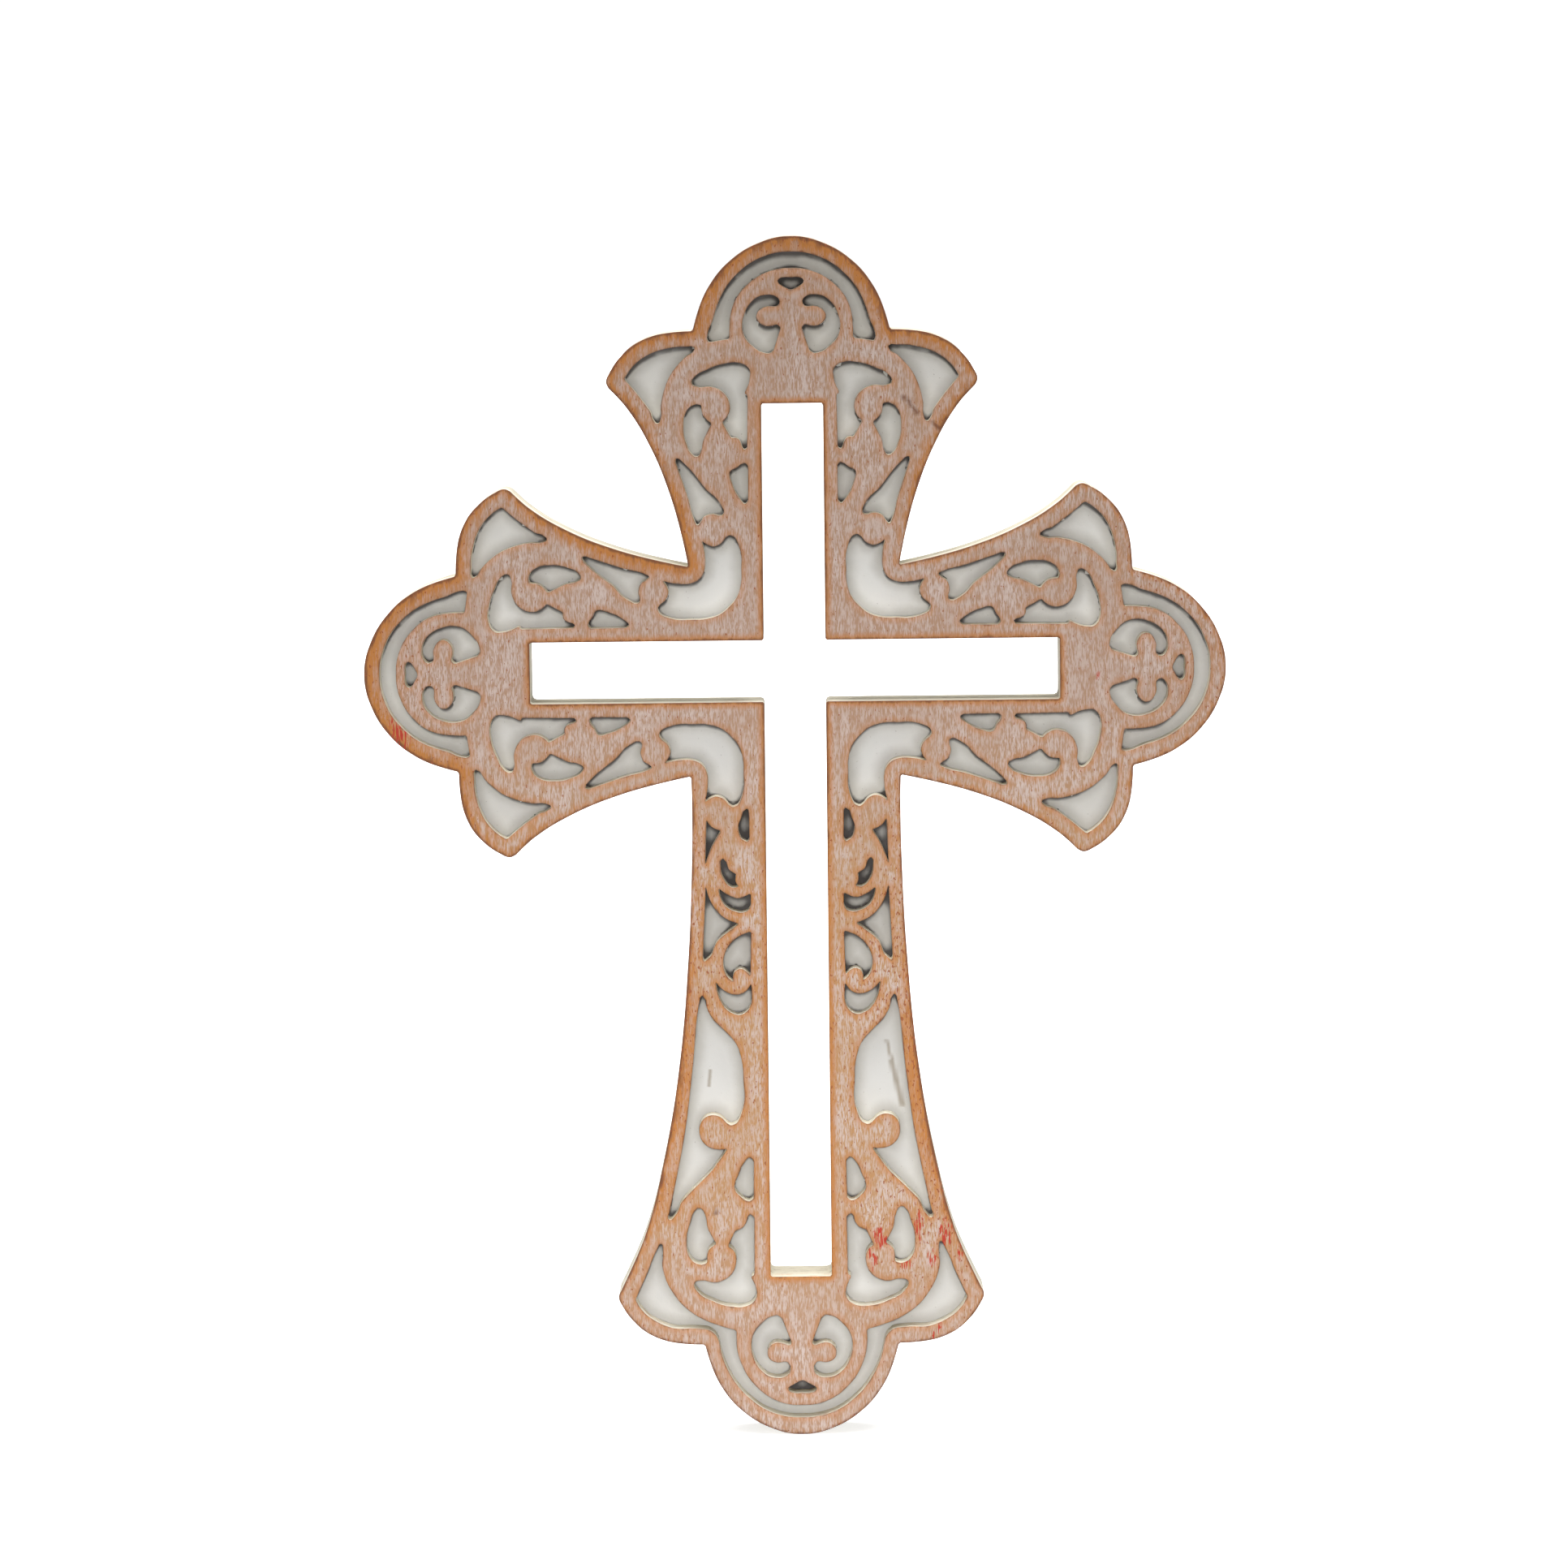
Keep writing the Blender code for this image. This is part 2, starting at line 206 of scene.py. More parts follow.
def length(name, description, value):
    """A length setting in metres."""
    return bpy.props.FloatProperty(
        name=name, description=description, unit="LENGTH", subtype="DISTANCE",
        min=0.0, precision=5, default=value,
    )


class FretworkSettings(bpy.types.PropertyGroup):
    """Sizes and colours of the stained fretwork panel."""

    arris: length("Arris", "Size of the eased front arris", 0.00028)
    corner: length("Corner round", "Round of the outline's sharp corners", 0.0005)
    step: length("Outline step", "Longest straight run along an outline", 0.0011)
    face_step: length("Face step", "Longest edge inside the front face", 0.0020)
    pink_stain: colour("Pink stain", "Stain of the upper arms", (0.430, 0.250, 0.155))
    tan_stain: colour("Tan stain", "Stain of the lower arm", (0.47, 0.240, 0.090))
    whitewash: colour("Whitewash", "Pale wash rubbed into the grain", (0.66, 0.535, 0.480))
    rust: colour("Rust", "Stain rubbed through along the edges", (0.50, 0.180, 0.027))
    burnt: colour("Burnt line", "Dark line on the arrises", (0.12, 0.032, 0.008))
    pores: colour("Pores", "Dark pores of the wood", (0.26, 0.12, 0.065))
    scarlet: colour("Scarlet", "Red wear across the grain", (0.46, 0.028, 0.005))
    specks: colour("Specks", "Short dark red marks in the grain", (0.30, 0.070, 0.012))
    cream: colour("Cream", "Paint on the cut edges", (0.86, 0.81, 0.67))


class BoardSettings(bpy.types.PropertyGroup):
    """Sizes and colours of the painted back board."""

    arris: length("Arris", "Size of the eased arrises", 0.0005)
    corner: length("Corner round", "Round of the outline's sharp corners", 0.0005)
    step: length("Outline step", "Longest straight run along an outline", 0.0012)
    face_step: length("Face step", "Longest edge in the recess floors", 0.0016)
    hidden_step: length("Hidden step", "Longest edge under the panel", 0.0040)
    paint: colour("Paint", "White paint of the recess floors", (0.90, 0.90, 0.89))
    # Painted grey shade along the walls; also the colour of the grey paint specks
    grey_shade_and_specks: colour("Shade", "Grey shading along the walls", (0.20, 0.175, 0.135))
    # Painted deep shade under the upper walls and in the narrow ends, partly dark unpainted board
    deep_shade_and_unpainted: colour("Soot", "Darkest tone in the narrow ends", (0.020, 0.012, 0.008))
    edge_cream: colour("Edge cream", "Paint on the outer edges", (0.68, 0.63, 0.50))
    scuff: colour("Scuff", "Brown board where the paint is rubbed", (0.27, 0.21, 0.14))
    raw_board: colour("Raw board", "Bare board on the back", (0.40, 0.26, 0.15))


class StageSettings(bpy.types.PropertyGroup):
    """Floor, light and camera."""

    floor_size: length("Floor size", "Side of the square floor", 24.0)
    floor_colour: colour("Floor colour", "Colour of the floor", (0.93, 0.93, 0.93))
    floor_glow: bpy.props.FloatProperty(
        name="Floor glow", description="Light of the floor's own, which thins its shadows",
        min=0.0, default=0.55,
    )
    camera_place: bpy.props.FloatVectorProperty(
        name="Camera place", description="Where the camera stands", subtype="XYZ",
        unit="LENGTH", size=3, default=(0.0050, -1.8837, 0.0511),
    )
    look_down: bpy.props.FloatProperty(
        name="Look down", description="How far the camera looks down",
        subtype="ANGLE", default=math.radians(6.089),
    )
    look_left: bpy.props.FloatProperty(
        name="Look left", description="How far the camera is turned to the left",
        subtype="ANGLE", default=math.radians(0.276),
    )
    camera_roll: bpy.props.FloatProperty(
        name="Camera roll", description="How far the camera leans to one side",
        subtype="ANGLE", default=math.radians(-0.623),
    )
    lens: bpy.props.FloatProperty(
        name="Lens", description="Focal length on a 36 mm sensor",
        min=1.0, default=129.92,
    )
    world_light: bpy.props.FloatProperty(
        name="World light", description="Strength of the white surroundings",
        min=0.0, default=0.33,
    )
    sun_light: bpy.props.FloatProperty(
        name="Sun light", description="Strength of the light from straight above",
        min=0.0, default=4.6,
    )
    key_light: bpy.props.FloatProperty(
        name="Key light", description="Power of the soft light above, in watts",
        min=0.0, default=5.5,
    )
    low_light: bpy.props.FloatProperty(
        name="Low light", description="Power of the light on the foot, in watts",
        min=0.0, default=0.68,
    )


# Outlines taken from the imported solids

def front_outlines(node):
    """The closed outlines round a solid's front face, each a list of (x, z)."""
    shape = bmesh.new()
    shape.from_mesh(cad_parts[node].data)
    bmesh.ops.remove_doubles(shape, verts=shape.verts, dist=WELD)
    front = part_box(node)[0].y
    rim = {}
    for edge in shape.edges:
        if any(abs(v.co.y - front) > WELD for v in edge.verts):
            continue
        facing = [face.normal.y < -SQUARE_ON for face in edge.link_faces]
        if any(facing) and not all(facing):
            for vert in edge.verts:
                rim.setdefault(vert, []).append(edge)
    outlines = []
    while rim:
        here = next(iter(rim))
        outline = []
        while here in rim:
            outline.append(Vector((here.co.x, here.co.z)))
            ways = rim.pop(here)
            onward = [e.other_vert(here) for e in ways]
            open_ways = [v for v in onward if v in rim]
            if open_ways:
                here = open_ways[0]
        outlines.append(outline)
    shape.free()
    if not outlines:
        raise RuntimeError(node + " has no front outlines")
    return outlines


def eased(outline, corner):
    """The outline with each sharp corner turned into a small round."""
    points = []
    for i, point in enumerate(outline):
        before = outline[i - 1]
        after = outline[(i + 1) % len(outline)]
        if (point - before).angle(after - point) < CORNER_TURN:
            points.append(point)
            continue
        for far, share in ((before, 2), (before, 1), (after, 1), (after, 2)):
            run = (far - point).length
            points.append(point.lerp(far, share * min(corner / run, LONGEST_ROUND)))
    return points


def smoothed(points, step):
    """A fine smooth outline through the given points."""
    knots = []
    for i, point in enumerate(points):
        before = points[i - 1]
        after = points[(i + 1) % len(points)]
        reach = min((point - before).length, (after - point).length) * HANDLE_SHARE
        lean = (after - before).normalized() * reach
        knots.append((point - lean, point, point + lean))
    fine = []
    for i, (_, start, leave) in enumerate(knots):
        arrive, end, _ = knots[(i + 1) % len(knots)]
        parts = max(1, math.ceil((end - start).length / step))
        run = geometry.interpolate_bezier(start, leave, arrive, end, parts + 1)
        fine += [Vector(p[:2]) for p in run[:-1]]
    return fine


def redrawn(node, settings):
    """A node's outlines with fine curves, the largest first."""
    outlines = [
        smoothed(eased(outline, settings.corner), settings.step)
        for outline in front_outlines(node)
    ]
    return sorted(outlines, key=extent, reverse=True)


def extent(outline):
    """How far an outline reaches, to tell the large ones from the small."""
    return max(p.y for p in outline) - min(p.y for p in outline)


# Meshes

def flat_solid(name, outlines, back, front, arris):
    """A flat solid between two planes across Y, with its arrises eased."""
    curve = bpy.data.curves.new(name, "CURVE")
    curve.dimensions = "2D"
    curve.fill_mode = "BOTH"
    curve.extrude = (back - front) / 2 - arris
    curve.bevel_depth = arris
    curve.bevel_resolution = 1
    curve.offset = -arris
    for outline in outlines:
        spline = curve.splines.new("POLY")
        spline.points.add(len(outline) - 1)
        spline.use_cyclic_u = True
        for point, place in zip(spline.points, outline):
            point.co = (place.x, place.y, 0.0, 1.0)
    drawn = bpy.data.objects.new(name + "_drawing", curve)
    bpy.context.scene.collection.objects.link(drawn)
    bpy.context.view_layer.update()
    depsgraph = bpy.context.evaluated_depsgraph_get()
    mesh = bpy.data.meshes.new_from_object(drawn.evaluated_get(depsgraph))
    bpy.data.objects.remove(drawn)
    bpy.data.curves.remove(curve)
    turn = Matrix.Rotation(math.radians(90.0), 4, "X")
    mesh.transform(Matrix.Translation((0.0, (back + front) / 2, 0.0)) @ turn)
    mesh.name = name
    shape = bmesh.new()
    shape.from_mesh(mesh)
    bmesh.ops.remove_doubles(shape, verts=shape.verts, dist=WELD)
    bmesh.ops.dissolve_degenerate(shape, edges=shape.edges, dist=WELD)
    bmesh.ops.recalc_face_normals(shape, faces=shape.faces)
    if any(len(edge.link_faces) != 2 for edge in shape.edges):
        raise RuntimeError(name + " isn't closed")
    shape.to_mesh(mesh)
    shape.free()
    return mesh


def take_flat(shape, level, facing):
    """Move a solid's flat front or back out of it, into a mesh of its own."""
    flat = [
        face for face in shape.faces
        if face.normal.y * facing > SQUARE_ON
        and all(abs(v.co.y - level) < WELD for v in face.verts)
    ]
    cap = shape.copy()
    cap.faces.ensure_lookup_table()
    chosen = {face.index for face in flat}
    rest = [face for face in cap.faces if face.index not in chosen]
    bmesh.ops.delete(cap, geom=rest, context="FACES")
    bmesh.ops.delete(shape, geom=flat, context="FACES")
    return cap


def split_flat(mesh, level, facing, longest, longest_hidden=None, shown=None):
    """Cut a flat front or back into small even triangles, coarser where it is hidden."""
    shape = bmesh.new()
    shape.from_mesh(mesh)
    shape.faces.index_update()
    cap = take_flat(shape, level, facing)
    for halving in range(ROUNDS_OF_SPLITTING):
        scale = max(1.0, FIRST_SPLIT / SPLIT_STEP ** halving)
        long_edges = []
        for edge in cap.edges:
            if edge.is_boundary:
                continue
            size = edge.calc_length() / scale
            if size > longest:
                middle = (edge.verts[0].co + edge.verts[1].co) / 2
                if shown is None or size > longest_hidden or shown(middle):
                    long_edges.append(edge)
        if long_edges:
            bmesh.ops.subdivide_edges(cap, edges=long_edges, cuts=1)
            cut = [face for face in cap.faces if len(face.verts) > 3]
            bmesh.ops.triangulate(cap, faces=cut)
        inner = [edge for edge in cap.edges if not edge.is_boundary]
        bmesh.ops.beautify_fill(cap, faces=cap.faces, edges=inner)
    fine = bpy.data.meshes.new("fine_front")
    cap.to_mesh(fine)
    cap.free()
    shape.from_mesh(fine)
    bpy.data.meshes.remove(fine)
    bmesh.ops.remove_doubles(shape, verts=shape.verts, dist=WELD)
    open_edges = sum(1 for edge in shape.edges if len(edge.link_faces) != 2)
    if open_edges:
        raise RuntimeError(f"{mesh.name} has {open_edges} open edges")
    shape.to_mesh(mesh)
    shape.free()


def wall_tree(outlines, low, high):
    """A search tree of upright walls along the outlines."""
    corners, walls = [], []
    for outline in outlines:
        first = len(corners)
        for point in outline:
            corners.append((point.x, low, point.y))
            corners.append((point.x, high, point.y))
        count = len(outline)
        for i in range(count):
            a = first + 2 * i
            b = first + 2 * ((i + 1) % count)
            walls.append((a, b, b + 1, a + 1))
    return BVHTree.FromPolygons(corners, walls)


def distances(places, tree):
    """Distance from each place to the nearest wall, in millimetres."""
    return [tree.find_nearest(place)[3] / MILLIMETRE for place in places]


def recess_shade(places, shown, tree):
    """How far the wall above each place is, in millimetres, and how much room is round it."""
    above, room = [], []
    for place, seen in zip(places, shown):
        if abs(place.y - BOARD_FRONT) > MILLIMETRE:
            above.append(FAR_WALL)
            room.append(1.0)
            continue
        if not seen:
            wall = tree.find_nearest(place)[0]
            place = wall + (wall - place).normalized() * NUDGE
        reached = []
        for way in LOOK_ROUND:
            far = tree.ray_cast(place, way)[3]
            reached.append(FAR_WALL if far is None else min(far / MILLIMETRE, FAR_WALL))
        above.append(reached[0])
        room.append(sum(min(far, ROOM) for far in reached) / ROOM / len(reached))
    return above, room


def store(mesh, name, values):
    """Keep one number for each vertex under a name that a material reads."""
    attribute = mesh.attributes.new(name, "FLOAT", "POINT")
    attribute.data.foreach_set("value", values)


def patches(mesh, places):
    """How strongly each vertex lies in one of several soft ovals."""
    strengths = []
    for vert in mesh.vertices:
        best = 0.0
        for x, z, half_width, half_height, strength in places:
            off = math.hypot((vert.co.x - x) / half_width, (vert.co.z - z) / half_height)
            best = max(best, strength * max(0.0, OVAL_FADE - off))
        strengths.append(min(best, 1.0))
    return strengths


def scratches(mesh, lines):
    """How strongly each vertex lies on one of several thin lines."""
    strengths = []
    for vert in mesh.vertices:
        spot = Vector((vert.co.x, vert.co.z))
        best = 0.0
        for start, end, half_width in lines:
            a, b = Vector(start), Vector(end)
            near, share = geometry.intersect_point_line(spot, a, b)
            if share < 0.0:
                near = a.to_3d()
            if share > 1.0:
                near = b.to_3d()
            off = (spot - near.to_2d()).length / half_width
            best = max(best, LINE_FADE - off)
        strengths.append(min(max(best, 0.0), 1.0))
    return strengths


def finished_piece(name, mesh, material):
    """An object for a finished mesh, smooth over its eased arrises."""
    mesh.materials.clear()
    mesh.materials.append(material)
    mesh.shade_smooth()
    mesh.set_sharp_from_angle(angle=SHARP_EDGE)
    piece = bpy.data.objects.new(name, mesh)
    bpy.context.scene.collection.objects.link(piece)
    return piece


# Shader nodes

class Wiring:
    """Adds nodes to one node tree and joins them."""

    def __init__(self, tree):
        self.tree = tree
        self.column = 0

    def add(self, kind, **settings):
        node = self.tree.nodes.new(kind)
        for name, value in settings.items():
            setattr(node, name, value)
        node.location = (180 * (self.column % 12) - 1100, -240 * (self.column // 12))
        self.column += 1
        return node

    def feed(self, socket, source):
        if isinstance(source, bpy.types.NodeSocket):
            self.tree.links.new(source, socket)
        elif socket.type == "RGBA":
            socket.default_value = (*source[:3], 1.0)
        else:
            socket.default_value = source

    def math(self, operation, first, second, clamp=False):
        node = self.add("ShaderNodeMath", operation=operation, use_clamp=clamp)
        self.feed(node.inputs[0], first)
        self.feed(node.inputs[1], second)
        return node.outputs[0]

    def plus(self, value, extra, gain):
        """A value with another one, times a gain, added to it."""
        return self.math("ADD", value, self.math("MULTIPLY", extra, gain))

    def blend(self, first, second, share):
        """Two values together, the first one with the given share."""
        return self.plus(self.math("MULTIPLY", first, share), second, 1.0 - share)

    def mix(self, share, first, second):
        node = self.add("ShaderNodeMix", data_type="RGBA")
        node.clamp_factor = True
        self.feed(node.inputs[0], share)
        self.feed(node.inputs[6], first)
        self.feed(node.inputs[7], second)
        return node.outputs[2]

    def fade(self, value, low, high, from_value=0.0, to_value=1.0):
        """A smooth change from one value to another between two levels."""
        node = self.add("ShaderNodeMapRange", interpolation_type="SMOOTHSTEP")
        self.feed(node.inputs["Value"], value)
        self.feed(node.inputs["From Min"], low)
        self.feed(node.inputs["From Max"], high)
        self.feed(node.inputs["To Min"], from_value)
        self.feed(node.inputs["To Max"], to_value)
        return node.outputs["Result"]

    def noise(self, fineness, detail, roughness, shift=(0.0, 0.0, 0.0)):
        """Noise on Object coordinates, as fine along each axis as asked."""
        place = self.add("ShaderNodeTexCoord")
        mapping = self.add("ShaderNodeMapping")
        self.feed(mapping.inputs["Vector"], place.outputs["Object"])
        mapping.inputs["Scale"].default_value = fineness
        mapping.inputs["Location"].default_value = shift
        node = self.add("ShaderNodeTexNoise")
        self.feed(node.inputs["Vector"], mapping.outputs["Vector"])
        node.inputs["Scale"].default_value = 1.0
        node.inputs["Detail"].default_value = detail
        node.inputs["Roughness"].default_value = roughness
        return node.outputs["Fac"]

    def attribute(self, name):
        node = self.add("ShaderNodeAttribute", attribute_name=name)
        return node.outputs["Fac"]

    def across(self, axis):
        """One of the object coordinates."""
        place = self.add("ShaderNodeTexCoord")
        parts = self.add("ShaderNodeSeparateXYZ")
        self.feed(parts.inputs[0], place.outputs["Object"])
        return parts.outputs[axis]

    def group(self, tree, **inputs):
        node = self.add("ShaderNodeGroup", node_tree=tree)
        for name, value in inputs.items():
            self.feed(node.inputs[name.replace("_", " ")], value)
        return node.outputs


def new_group(name, inputs, outputs):
    """An empty node group with named number sockets."""
    tree = bpy.data.node_groups.new(name, "ShaderNodeTree")
    for label, default in inputs:
        socket = tree.interface.new_socket(label, in_out="INPUT", socket_type="NodeSocketFloat")
        socket.default_value = default
    for label in outputs:
        tree.interface.new_socket(label, in_out="OUTPUT", socket_type="NodeSocketFloat")
    wiring = Wiring(tree)
    start = wiring.add("NodeGroupInput")
    end = wiring.add("NodeGroupOutput")
    return tree, wiring, start.outputs, end.inputs


def wood_grain_group():
    """Upright grain: fine pores, washed streaks, broad clouds, specks and a height."""
    tree, w, _, out = new_group(
        "upright_grain", (), ("Pores", "Wash", "Clouds", "Specks", "Height"),
    )
    pores = w.noise(PORES, detail=2.0, roughness=0.55)
    w.feed(out["Pores"], w.fade(pores, 0.60, 0.70))
    fine = w.noise(FINE_WASH, detail=2.0, roughness=0.55, shift=(7.0, 3.0, 1.0))
    broad = w.noise(BROAD_WASH, detail=3.0, roughness=0.6, shift=(2.0, 5.0, 9.0))
    w.feed(out["Wash"], w.fade(w.blend(fine, broad, 0.6), 0.42, 0.59))
    clouds = w.noise(WASH_CLOUDS, detail=2.0, roughness=0.5, shift=(4.0, 1.0, 6.0))
    w.feed(out["Clouds"], w.fade(clouds, 0.36, 0.66))
    w.feed(out["Specks"], w.noise(SPECKS, detail=1.0, roughness=0.5, shift=(6.0, 6.0, 2.0)))
    w.feed(out["Height"], w.plus(fine, pores, -0.7))
    return tree


def edge_band_group():
    """A band along an edge, ragged along the grain, with its sizes in millimetres."""
    tree, w, start, out = new_group(
        "ragged_edge_band",
        (("Distance", 0.0), ("Reach", 1.0), ("Raggedness", 1.0)),
        ("Mask",),
    )
    rag = w.noise(RAGGED_BAND, detail=3.0, roughness=0.65, shift=(3.0, 8.0, 2.0))
    swing = w.math("MULTIPLY", w.math("SUBTRACT", rag, 0.5), start["Raggedness"])
    pushed = w.math("ADD", start["Distance"], swing)
    w.feed(out["Mask"], w.fade(pushed, 0.0, start["Reach"], from_value=1.0, to_value=0.0))
    return tree


def rubbed_group():
    """Where paint is rubbed off a cut edge, in short uneven runs."""
    tree, w, _, out = new_group("rubbed_edge", (), ("Rubbed",))
    broad = w.noise(BROAD_RUBS, detail=3.0, roughness=0.6, shift=(2.0, 7.0, 5.0))
    fine = w.noise(FINE_RUBS, detail=3.0, roughness=0.65, shift=(9.0, 1.0, 3.0))
    w.feed(out["Rubbed"], w.fade(w.blend(broad, fine, 0.55), 0.50, 0.66))
    return tree


def speckle_group():
    """Small dots and soft clouds of brushed paint."""
    tree, w, _, out = new_group("paint_speckle", (), ("Dots", "Clouds", "Height"))
    w.feed(out["Dots"], w.fade(w.noise(PAINT_DOTS, detail=1.0, roughness=0.5), 0.70, 0.78))
    w.feed(out["Clouds"], w.noise(PAINT_CLOUDS, detail=3.0, roughness=0.55, shift=(1.0, 4.0, 2.0)))
    w.feed(out["Height"], w.noise(BRUSH_MARKS, detail=3.0, roughness=0.6, shift=(5.0, 0.0, 3.0)))
    return tree


def new_material(name, look):
    """A material with a bare shader, and its wiring."""
    material = bpy.data.materials.new(name)
    material.use_nodes = True
    material.diffuse_color = (*look, 1.0)
    wiring = Wiring(material.node_tree)
    shader = material.node_tree.nodes["Principled BSDF"]
    shader.location = (1400, 0)
    return material, wiring, shader


def bumped(w, shader, height, strength):
    """Drive the shader's normal by a height."""
    bump = w.add("ShaderNodeBump")
    bump.inputs["Strength"].default_value = strength
    bump.inputs["Distance"].default_value = BUMP_DEPTH
    w.feed(bump.inputs["Height"], height)
    w.feed(shader.inputs["Normal"], bump.outputs["Normal"])


def edge_band(w, groups, distance, reach, raggedness):
    """The mask of a ragged band, with its sizes in millimetres."""
    band = w.group(groups["band"], Distance=distance, Reach=reach, Raggedness=raggedness)
    return band["Mask"]


def washed_stain(w, settings, grain, tan):
    """Pink and tan stain under a rubbed whitewash, with dark pores."""
    thinnest_wash, dark_pores = 0.62, 0.35
    face = w.mix(tan, settings.pink_stain, settings.tan_stain)
    thick = w.plus(thinnest_wash, grain["Clouds"], 1.0 - thinnest_wash)
    face = w.mix(w.math("MULTIPLY", grain["Wash"], thick), face, settings.whitewash)
    return w.mix(w.math("MULTIPLY", grain["Pores"], dark_pores), face, settings.pores)


def rusty_edges(w, settings, groups, face, grain, tan):
    """The face with rust along every edge and scorched places on the rim."""
    fret_rust, fret_rust_on_tan, window_rust = 0.44, 0.24, 0.95
    rim_rust, worn_rim_rust, wash_over_rust, foot_rust = 0.85, 0.6, 0.3, 0.35
    rim = w.attribute("from_rim")
    rusted = w.attribute("rusted")

    band = edge_band(w, groups, w.attribute("from_fret"), reach=3.0, raggedness=2.4)
    share = w.plus(fret_rust, tan, fret_rust_on_tan)
    face = w.mix(w.math("MULTIPLY", band, share), face, settings.rust)

    band = edge_band(w, groups, w.attribute("from_window"), reach=3.2, raggedness=1.8)
    face = w.mix(w.math("MULTIPLY", band, window_rust), face, settings.rust)

    band = edge_band(w, groups, rim, reach=w.plus(2.9, rusted, 4.2), raggedness=6.0)
    streaky = w.plus(1.0, grain["Wash"], -wash_over_rust)
    fewer = w.fade(w.across("Z"), *RUST_ENDS, from_value=foot_rust)
    share = w.plus(rim_rust, rusted, worn_rim_rust)
    share = w.math("MULTIPLY", share, w.math("MULTIPLY", streaky, fewer))
    face = w.mix(w.math("MULTIPLY", band, share, clamp=True), face, settings.rust)

    scorch = w.noise(SCORCH, detail=3.0, roughness=0.6, shift=(8.0, 5.0, 1.0))
    near = w.fade(rim, 0.8, 3.6, from_value=0.6, to_value=0.0)
    scorch = w.math("MULTIPLY", w.fade(scorch, 0.50, 0.66), near)
    return w.mix(w.math("MULTIPLY", scorch, rusted), face, settings.burnt)


def burnt_line(w, settings, groups, face):
    """The face with a dark line on its arrises."""
    line_strength, wider_where_rusted = 0.85, 0.35
    outer = w.plus(w.attribute("from_rim"), w.attribute("rusted"), -wider_where_rusted)
    thinner = w.fade(w.across("Z"), *DARK_WINDOW, to_value=0.5)
    inner = w.math("ADD", w.attribute("from_window"), thinner)
    inner = w.math("MINIMUM", inner, w.math("ADD", w.attribute("from_fret"), 0.45))
    arris = w.math("MINIMUM", outer, inner)
    line = edge_band(w, groups, arris, reach=1.0, raggedness=1.9)
    return w.mix(w.math("MULTIPLY", line, line_strength), face, settings.burnt)


def red_and_brown_marks(w, settings, face, grain):
    """The face with specks in the grain, streaks of red wear and scratches."""
    more_specks, more_red, scratch_strength = 0.09, 0.15, 0.8
    nearest = w.math("MINIMUM", w.attribute("from_rim"), w.attribute("from_window"))
    edges = w.fade(nearest, 0.5, 3.5, from_value=0.03, to_value=0.0)
    specks = w.plus(grain["Specks"], w.attribute("specked"), more_specks)
    specks = w.math("ADD", specks, edges)
    face = w.mix(w.fade(specks, 0.70, 0.72, to_value=0.9), face, settings.specks)

    red = w.attribute("red_wear")
    streaks = w.noise(RED_STREAKS, detail=2.0, roughness=0.5, shift=(9.0, 2.0, 4.0))
    shown = w.fade(w.plus(streaks, red, more_red), 0.60, 0.615)
    shown = w.math("MULTIPLY", shown, w.fade(red, 0.0, 0.35))
    face = w.mix(shown, face, settings.scarlet)
    scratch = w.math("MULTIPLY", w.attribute("scratch"), scratch_strength)
    return w.mix(scratch, face, settings.burnt)


def stained_wood(settings, groups):
    """The panel's finish: stained and washed in front, painted on its walls."""
    rubbed_walls = 0.45
    material, w, shader = new_material("stained_wood", settings.pink_stain)
    grain = w.group(groups["grain"])
    height = w.across("Z")
    above_foot = w.fade(height, *TAN_ENDS, from_value=0.08)
    tan = w.math("MULTIPLY", w.fade(height, *TAN_STAIN), above_foot)
    face = washed_stain(w, settings, grain, tan)
    face = rusty_edges(w, settings, groups, face, grain, tan)
    face = burnt_line(w, settings, groups, face)
    face = red_and_brown_marks(w, settings, face, grain)

    rub = w.group(groups["rub"])["Rubbed"]
    wall = w.mix(w.math("MULTIPLY", rub, rubbed_walls), settings.cream, settings.rust)
    depth = w.math("SUBTRACT", w.across("Y"), PANEL_FRONT)
    w.feed(shader.inputs["Base Color"], w.mix(w.fade(depth, *PANEL_WALL), face, wall))
    rough = w.fade(grain["Wash"], 0.0, 1.0, from_value=0.62, to_value=0.74)
    w.feed(shader.inputs["Roughness"], rough)
    bumped(w, shader, grain["Height"], strength=0.35)
    return material


